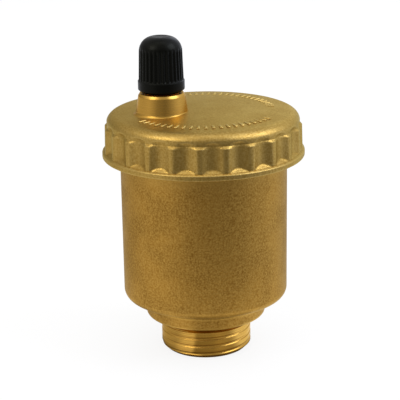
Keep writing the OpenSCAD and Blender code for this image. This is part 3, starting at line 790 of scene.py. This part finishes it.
def boss_outline(size):
    """Outline of the turned boss, with its foot sunk into the roof."""
    boss_r, fillet = size.boss_d / 2, size.boss_fillet
    top_z = COVER_HIGH.z + size.boss_lift
    foot_r = boss_r + size.boss_taper
    foot_z = roof_height(size, -BOSS_X + foot_r + fillet)
    sunk_z = (size.ceiling_z + size.roof_z) / 2
    points = [(0.0, sunk_z), (foot_r + fillet, sunk_z)]
    points += arc(foot_r + fillet, foot_z + fillet, fillet, 270, 180)
    points += [(boss_r, top_z - size.boss_edge_h), (boss_r - size.boss_edge, top_z), (0.0, top_z)]
    return points


def make_cover(size, finish):
    """Screwed cover: flutes pressed into the turned skirt, then the boss joined and bored."""
    piece = turn_piece("vent_cover", cover_outline(size), size.flutes * FLUTE_STEPS)
    rib_r, top_r = FLANGE_R - size.flange_lip, roof_radius(size)
    flange_z = COVER_LOW.z + size.flange_h
    depth, half = size.flute_depth, size.flute_w / 2
    cutter_r = (half * half + depth * depth) / (2 * depth)
    cutter_x = rib_r - depth + cutter_r
    end_z = size.roof_z - size.shoulder_h - size.flute_drop
    pitch = FULL_TURN / size.flutes

    def press_flutes(radius, turn, z):
        if z < flange_z - MICRON or radius < top_r - MICRON or radius > rib_r + MICRON:
            return radius
        lean = size.rib_draft * (z - flange_z) / (size.rib_head_z - flange_z)
        wall = radius - lean if z < size.rib_head_z - MICRON else radius
        off = (turn + pitch / 2) % pitch - pitch / 2
        rise = size.flute_end * max(0.0, z - end_z)
        reach = cutter_r ** 2 - rise ** 2 - (cutter_x * math.sin(off)) ** 2
        if reach <= 0:
            return wall
        ledge = rib_r - depth * (z - flange_z) / size.flute_ledge
        floor = soft_most(ledge, cutter_x * math.cos(off) - math.sqrt(reach), size.flute_fillet)
        return soft_least(wall, floor, size.rib_round)

    reshape(piece, press_flutes)
    combine(piece, turn_piece("boss", boss_outline(size), BOSS_STEPS, BOSS_X), "UNION")
    bore_r, past = size.boss_bore_d / 2, 2 * MM
    low, high = size.ceiling_z - past, COVER_HIGH.z + past
    bore = [(0.0, low), (bore_r, low), (bore_r, high), (0.0, high)]
    combine(piece, turn_piece("drill", bore, BOSS_STEPS, BOSS_X), "DIFFERENCE")
    mark_edges(piece, BRASS_EDGE)
    smooth(piece, degrees=40)
    turned = turned_brass(finish, "turned boss brass", rough=0.26, lines_per_m=FINE_LINES, x=BOSS_X)
    paint(piece, cover_brass(finish), turned)
    boss_r = size.boss_d / 2 + size.boss_taper + size.boss_fillet
    for face in piece.data.polygons:
        middle = face.center
        radius = math.hypot(middle.x, middle.y)
        near_boss = math.hypot(middle.x - BOSS_X, middle.y) < boss_r
        on_boss = near_boss and middle.z > roof_height(size, radius) + 30 * MICRON
        inside = radius < size.bore_d / 2 + MM and middle.z < size.ceiling_z + MICRON
        face.material_index = 1 if on_boss or inside else 0
    hand_over(piece, "cover", "forged_brass", "cover")


def make_marks(size, finish):
    """Plain raised ticks in two arcs on the cover's roof."""
    sunk, soft_edge = 0.2 * MM, 0.3 * size.mark_w
    deselect()
    bpy.ops.mesh.primitive_cube_add(size=1.0)
    tick = bpy.context.object
    bpy.ops.transform.resize(value=(size.mark_l, size.mark_w, size.mark_h + sunk))
    bpy.ops.object.transform_apply(location=True, rotation=True, scale=True)
    bpy.ops.object.mode_set(mode="EDIT")
    bpy.ops.mesh.select_all(action="SELECT")
    bpy.ops.mesh.bevel(offset=soft_edge, segments=3, affect="EDGES")
    bpy.ops.object.mode_set(mode="OBJECT")
    front = size.mark_r, size.mark_start, size.marks
    back = size.back_mark_r, size.back_mark_start, size.back_marks
    ticks = []
    for radius, start, times in (front, back):
        high = roof_height(size, radius) + (size.mark_h - sunk) / 2
        for index in range(times):
            turn = start + index * size.mark_step
            copy = tick.copy()
            copy.data = tick.data.copy()
            bpy.context.scene.collection.objects.link(copy)
            middle = Vector((radius * math.cos(turn), radius * math.sin(turn), high))
            copy.data.transform(Matrix.Translation(middle) @ Matrix.Rotation(turn, 4, "Z"))
            ticks.append(copy)
    bpy.data.objects.remove(tick, do_unlink=True)
    deselect()
    for copy in ticks:
        copy.select_set(True)
    bpy.context.view_layer.objects.active = ticks[0]
    bpy.ops.object.join()
    piece = bpy.context.object
    piece.name = "cover_ticks"
    piece.data.name = "cover_ticks"
    mark_edges(piece, BRASS_EDGE)
    smooth(piece, degrees=50)
    paint(piece, tick_brass(finish))
    hand_over(piece, "cover", "forged_brass")


def cap_outline(size):
    """Outline of the dust cap from its lower edge over the dome and back down the bore."""
    ring_r, bore_r = (CAP_HIGH.x - CAP_LOW.x) / 2, size.bore_d / 2
    foot_r, top_r, flat_r = size.foot_d / 2, size.top_d / 2, size.flat_d / 2
    low, high, edge = CAP_LOW.z + size.ring_lift, CAP_HIGH.z, size.edge
    ring_z, dome_z = low + size.ring_h, high - size.dome_h
    dimple_r, dimple_z = 0.7 * flat_r, high - size.dimple
    points = [(bore_r, low + edge), (bore_r + edge, low), (ring_r - size.ring_chamfer, low)]
    points += [(ring_r - edge / 3, low + size.ring_chamfer - edge), (ring_r, low + size.ring_chamfer)]
    points += arc(ring_r - edge, ring_z - edge, edge, 0, 90, 4)
    grip = rows(foot_r, ring_z + edge / 2, dome_z, 0.3 * MM)
    slope = (foot_r - top_r) / (dome_z - ring_z)
    points += [(foot_r - (z - ring_z) * slope, z) for _, z in grip[:-1]]
    points += oval(flat_r, dome_z, top_r - flat_r, size.dome_h, 0, 90, 22)
    points += [(dimple_r, dimple_z), (0.0, dimple_z), (0.0, size.ceiling_z), (bore_r, size.ceiling_z)]
    return points


def make_cap(size, finish):
    """Ribbed dust cap with soft flutes that fade into its dome."""
    piece = turn_piece("dust_cap_skin", cap_outline(size), size.flutes * CAP_FLUTE_STEPS, BOSS_X)
    ring_z = CAP_LOW.z + size.ring_lift + size.ring_h
    dome_z = CAP_HIGH.z - size.dome_h
    fade, narrow = 0.9 * MM, 1.5

    def press_flutes(radius, turn, z):
        if z < ring_z + MICRON or radius < size.bore_d / 2 + size.edge or z > dome_z + 2 * fade:
            return radius
        wave = 0.5 + 0.5 * math.cos(turn * size.flutes)
        start = min(1.0, (z - ring_z) / (2 * size.edge))
        end = min(1.0, max(0.0, (dome_z + fade - z) / fade))
        return radius - size.flute_depth * wave ** narrow * start * end

    reshape(piece, press_flutes, BOSS_X)
    mark_edges(piece, CAP_EDGE)
    smooth(piece, degrees=45)
    paint(piece, cap_plastic(finish))
    hand_over(piece, "cap", "cap_plastic", "dust_cap")


def finish_nodes(finish):
    """Gives every carried-over CAD node the finish of its own slot."""
    # Name, slot, colour, least and most roughness, pits in a metre and metal share
    plain = (
        ("rolled steel", "stainless", finish.steel, 0.22, 0.36, 1800.0, 1.0),
        ("float plastic", "float_plastic", finish.float_white, 0.42, 0.55, 900.0, 0.0),
        ("lever plastic", "lever_plastic", finish.lever_white, 0.38, 0.5, 1200.0, 0.0),
        ("seal rubber", "rubber", finish.rubber, 0.6, 0.78, 2200.0, 0.0),
    )
    finishes = {slot: plain_finish(name, slot, *look) for name, slot, *look in plain}
    nozzle = turned_brass(finish, "turned nozzle brass", rough=0.2, lines_per_m=FINE_LINES, x=BOSS_X)
    finishes["machined_brass"] = nozzle
    for part in frame["record"]["subparts"]:
        material = finishes.get(part["material_slot"])
        if material:
            paint(frame["nodes"][part["node"]], material)


# Studio

# Brightness round the part: degrees right of the camera, level and share of cool daylight, which
# is below zero where the light is warm
FAR_FLOOR = (
    (-180, 0.85, 0.4), (-112, 0.78, 0.0), (-62, 0.90, 0.0), (-34, 0.78, 0.0), (-24, 0.38, 0.0),
    (14, 0.29, 0.0), (44, 0.31, 0.3), (66, 0.62, 0.8), (92, 1.0, 0.8), (180, 0.85, 0.4),
)
NEAR_FLOOR = (
    (-180, 0.80, 0.0), (-90, 0.68, 0.0), (-60, 0.62, 0.0), (-44, 1.06, 0.0), (-25, 1.1, 0.0),
    (-20, 0.34, -1.0), (10, 0.36, -1.0), (24, 0.52, -1.0), (46, 0.50, -0.5), (55, 0.85, 0.5),
    (66, 1.5, 1.0), (100, 1.5, 1.0), (180, 0.80, 0.0),
)
LOW_SKY = (
    (-180, 0.68, 0.1), (-150, 0.40, 0.0), (-100, 0.60, 0.0), (-60, 0.80, 0.0), (-25, 0.40, 0.0),
    (20, 0.25, 0.0), (60, 0.70, 0.5), (90, 1.05, 0.8), (145, 0.95, 0.5), (180, 0.68, 0.1),
)
HIGH_SKY = (
    (-180, 0.70, 0.2), (-110, 0.80, 0.0), (-70, 1.6, 0.0), (-28, 1.3, 0.0), (-10, 0.70, 0.0),
    (36, 0.65, 0.2), (64, 1.4, 0.6), (90, 1.8, 0.9), (130, 1.0, 0.6), (180, 0.70, 0.2),
)
WHITE = (1.0, 1.0, 1.0)
DAYLIGHT = (0.92, 1.0, 1.22)
# Colours of the card under the part and in the bright ring round it
FOOT_SHADE = (0.12, 0.10, 0.06)
RING_GLOW = (1.15, 1.15, 1.15)
# Distances from the axis between which the shade, the near floor and the ring give way
SHADE_END = (10.5 * MM, 14 * MM)
NEAR_END = (26 * MM, 34 * MM)
RING_END = (44 * MM, 62 * MM)
# Upward share of a direction between which the low sky gives way to the high one
SKY_CHANGE = (0.38, 0.62)
# Side of the floor, its drop below the part and the card's radius
FLOOR_SIDE, FLOOR_DROP, CARD_R = 6.0, 0.1 * MM, 2.9


def white_share(tree):
    """1 for what the camera sees, directly, in a reflection or through glass, and 0 for plain light."""
    path = node(tree, "LightPath").outputs
    seen = sums(tree, "ADD", path["Is Camera Ray"], path["Is Glossy Ray"])
    return sums(tree, "ADD", seen, path["Is Transmission Ray"], clamp=True)


def show_mix(tree, output, share, first, second):
    """Shows two shaders, mixed by a share."""
    mix = node(tree, "MixShader", Fac=share)
    put(tree, mix.inputs[1], first.outputs[0])
    put(tree, mix.inputs[2], second.outputs[0])
    feed(tree, tree.nodes[output], Surface=mix.outputs[0])


def make_floor(stage, finish):
    """Pale floor that the camera sees as white, with the part's shadow kept."""
    deselect()
    bpy.ops.mesh.primitive_plane_add(size=FLOOR_SIDE, location=(0, 0, -FLOOR_DROP))
    floor = bpy.context.object
    floor.name = "floor"
    material = bpy.data.materials.new("pale floor")
    material.use_nodes = True
    tree = material.node_tree
    shader = tree.nodes["Principled BSDF"]
    feed(tree, shader, Base_Color=finish.floor, Roughness=0.9)
    glow = node(tree, "Emission", Strength=1.0)
    share = sums(tree, "MULTIPLY", white_share(tree), stage.floor_glow)
    show_mix(tree, "Material Output", share, shader, glow)
    paint(floor, material)


def round_levels(tree, stage, place, levels):
    """Light by direction round the part, from stops of degrees right of the camera."""
    facing = node(tree, "Mapping", Vector=place, Rotation=(0.0, 0.0, math.radians(90) - stage.azimuth))
    gradient = node(tree, "TexGradient", Vector=facing.outputs["Vector"])
    gradient.gradient_type = "RADIAL"
    ramp = node(tree, "ValToRGB", Fac=gradient.outputs["Fac"])
    stops = ramp.color_ramp.elements
    while len(stops) < len(levels):
        stops.new(0.5)
    for stop, (degrees, level, cool) in zip(stops, levels):
        stop.position = (degrees + 180) / 360
        stop.color = (*(level * (1 + cool * (part - 1)) for part in DAYLIGHT), 1.0)
    return ramp.outputs["Color"]


def make_card(stage):
    """Card on the floor round the part, seen only in reflections, dim in front of the camera."""
    deselect()
    bpy.ops.mesh.primitive_circle_add(vertices=96, radius=CARD_R, fill_type="NGON", location=(0, 0, 0))
    card = bpy.context.object
    card.name = "reflection_card"
    for ray in ("camera", "diffuse", "shadow", "transmission"):
        setattr(card, "visible_" + ray, False)
    material = bpy.data.materials.new("reflection card")
    material.use_nodes = True
    tree = material.node_tree
    tree.nodes.remove(tree.nodes["Principled BSDF"])
    place = node(tree, "TexCoord").outputs["Object"]
    span = node(tree, "VectorMath", Vector=place)
    span.operation = "LENGTH"
    reach = span.outputs["Value"]
    near = round_levels(tree, stage, place, NEAR_FLOOR)
    far = round_levels(tree, stage, place, FAR_FLOOR)
    shown = blend(tree, remap(tree, reach, *SHADE_END), FOOT_SHADE, near)
    shown = blend(tree, remap(tree, reach, *NEAR_END), shown, RING_GLOW)
    shown = blend(tree, remap(tree, reach, *RING_END), shown, far)
    glow = node(tree, "Emission", Color=shown, Strength=1.0)
    feed(tree, tree.nodes["Material Output"], Surface=glow.outputs[0])
    paint(card, material)


def around(stage, degrees, distance, height):
    """A place round the part, with its angle counted to the right of the camera."""
    turn = stage.azimuth + math.radians(degrees)
    return (distance * math.sin(turn), -distance * math.cos(turn), height)


def soft_box(name, place, size, level, tint=WHITE):
    """An area lamp aimed at the part's middle, with its brightness as seen in a mirror."""
    middle = (CAD_BOX[0] + CAD_BOX[1]) / 2
    aim = (middle - Vector(place)).to_track_quat("-Z", "Y").to_euler()
    bpy.ops.object.light_add(type="AREA", location=place, rotation=aim)
    lamp = bpy.context.object
    lamp.name = name
    lamp.data.shape = "SQUARE"
    lamp.data.size = size
    lamp.data.color = tint
    lamp.data.energy = level * math.pi * size * size


def make_lights(stage):
    """Soft boxes above, left, right and behind, and a white surround."""
    top = around(stage, degrees=10, distance=0.08, height=0.60)
    left = around(stage, degrees=-50, distance=0.46, height=0.39)
    right = around(stage, degrees=74, distance=0.46, height=0.40)
    back = around(stage, degrees=163, distance=0.46, height=0.27)
    soft_box("top_box", top, size=0.30, level=stage.top_level)
    soft_box("left_box", left, size=0.26, level=stage.left_level)
    soft_box("right_box", right, size=0.36, level=stage.right_level, tint=DAYLIGHT)
    soft_box("back_box", back, size=0.18, level=stage.back_level, tint=DAYLIGHT)
    world = bpy.data.worlds.new("studio")
    bpy.context.scene.world = world
    world.use_nodes = True
    tree = world.node_tree
    plain = tree.nodes["Background"]
    feed(tree, plain, Color=WHITE, Strength=stage.world)
    place = node(tree, "TexCoord").outputs["Generated"]
    low = round_levels(tree, stage, place, LOW_SKY)
    high = round_levels(tree, stage, place, HIGH_SKY)
    levels = blend(tree, remap(tree, height_of(tree, place), *SKY_CHANGE), low, high)
    shown = blend(tree, node(tree, "LightPath").outputs["Is Glossy Ray"], WHITE, levels)
    white = node(tree, "Background", Color=shown, Strength=1.0)
    show_mix(tree, "World Output", white_share(tree), plain, white)


def make_camera(stage):
    """Camera at the photograph's place, a little above the part and to its left."""
    turn = Matrix.Rotation(stage.azimuth + stage.aim, 4, "Z")
    tilt = Matrix.Rotation(math.pi / 2 - stage.pitch, 4, "X")
    roll = Matrix.Rotation(stage.roll, 4, "Z")
    facing = (turn @ tilt @ roll).to_euler()
    place = around(stage, 0, stage.distance, stage.height)
    bpy.ops.object.camera_add(location=place, rotation=facing)
    camera = bpy.context.object
    camera.name = "camera"
    camera.data.sensor_fit = "HORIZONTAL"
    camera.data.sensor_width = 36.0
    camera.data.lens = stage.lens
    camera.data.clip_start = 0.01
    camera.data.clip_end = 20.0
    bpy.context.scene.camera = camera


# Operators

class AIRVENT_OT_body(bpy.types.Operator):
    """Turns the forged bowl and cuts its threads"""

    bl_idname = "airvent.body"
    bl_label = "Body"

    def execute(self, context):
        make_body(context.scene.airvent_body, context.scene.airvent_finish)
        return {"FINISHED"}


class AIRVENT_OT_cover(bpy.types.Operator):
    """Turns the cover, presses its flutes and adds the boss"""

    bl_idname = "airvent.cover"
    bl_label = "Cover"

    def execute(self, context):
        make_cover(context.scene.airvent_cover, context.scene.airvent_finish)
        return {"FINISHED"}


class AIRVENT_OT_marks(bpy.types.Operator):
    """Raises plain ticks on the cover's roof"""

    bl_idname = "airvent.marks"
    bl_label = "Cover ticks"

    def execute(self, context):
        make_marks(context.scene.airvent_cover, context.scene.airvent_finish)
        return {"FINISHED"}


class AIRVENT_OT_cap(bpy.types.Operator):
    """Turns the ribbed dust cap"""

    bl_idname = "airvent.cap"
    bl_label = "Dust cap"

    def execute(self, context):
        make_cap(context.scene.airvent_cap, context.scene.airvent_finish)
        return {"FINISHED"}


class AIRVENT_OT_inner_works(bpy.types.Operator):
    """Finishes the nozzle, the seals and the float work"""

    bl_idname = "airvent.inner_works"
    bl_label = "Inner works"

    def execute(self, context):
        finish_nodes(context.scene.airvent_finish)
        return {"FINISHED"}


class AIRVENT_OT_stage(bpy.types.Operator):
    """Sets the floor, the lights and the camera"""

    bl_idname = "airvent.stage"
    bl_label = "Studio"

    def execute(self, context):
        stage = context.scene.airvent_stage
        make_floor(stage, context.scene.airvent_finish)
        make_card(stage)
        make_lights(stage)
        make_camera(stage)
        context.scene.view_settings.view_transform = "Standard"
        return {"FINISHED"}


OPERATORS = (
    AIRVENT_OT_body,
    AIRVENT_OT_cover,
    AIRVENT_OT_marks,
    AIRVENT_OT_cap,
    AIRVENT_OT_inner_works,
    AIRVENT_OT_stage,
)


class AIRVENT_PT_panel(bpy.types.Panel):
    """Lists the vent's pieces and their sizes"""

    bl_idname = "AIRVENT_PT_panel"
    bl_label = "Air vent"
    bl_space_type = "VIEW_3D"
    bl_region_type = "UI"
    bl_category = "Air vent"

    def draw(self, context):
        for operator in OPERATORS:
            self.layout.operator(operator.bl_idname)
        for name in SETTINGS:
            settings = getattr(context.scene, name)
            for prop in settings.bl_rna.properties:
                if prop.identifier not in ("rna_type", "name"):
                    self.layout.prop(settings, prop.identifier)


SETTINGS = {
    "airvent_body": AIRVENT_PG_body,
    "airvent_cover": AIRVENT_PG_cover,
    "airvent_cap": AIRVENT_PG_cap,
    "airvent_finish": AIRVENT_PG_finish,
    "airvent_stage": AIRVENT_PG_stage,
}


def register():
    """Registers the settings, operators and panel."""
    for name, kind in SETTINGS.items():
        bpy.utils.register_class(kind)
        setattr(bpy.types.Scene, name, bpy.props.PointerProperty(type=kind))
    for kind in (*OPERATORS, AIRVENT_PT_panel):
        bpy.utils.register_class(kind)


def unregister():
    """Takes the panel, operators and settings away again."""
    for kind in (AIRVENT_PT_panel, *reversed(OPERATORS)):
        bpy.utils.unregister_class(kind)
    for name, kind in reversed(SETTINGS.items()):
        delattr(bpy.types.Scene, name)
        bpy.utils.unregister_class(kind)


def main():
    """Builds every piece and the studio."""
    register()
    bpy.ops.airvent.body()
    bpy.ops.airvent.cover()
    bpy.ops.airvent.marks()
    bpy.ops.airvent.cap()
    bpy.ops.airvent.inner_works()
    bpy.ops.airvent.stage()


if __name__ == "__main__":
    main()
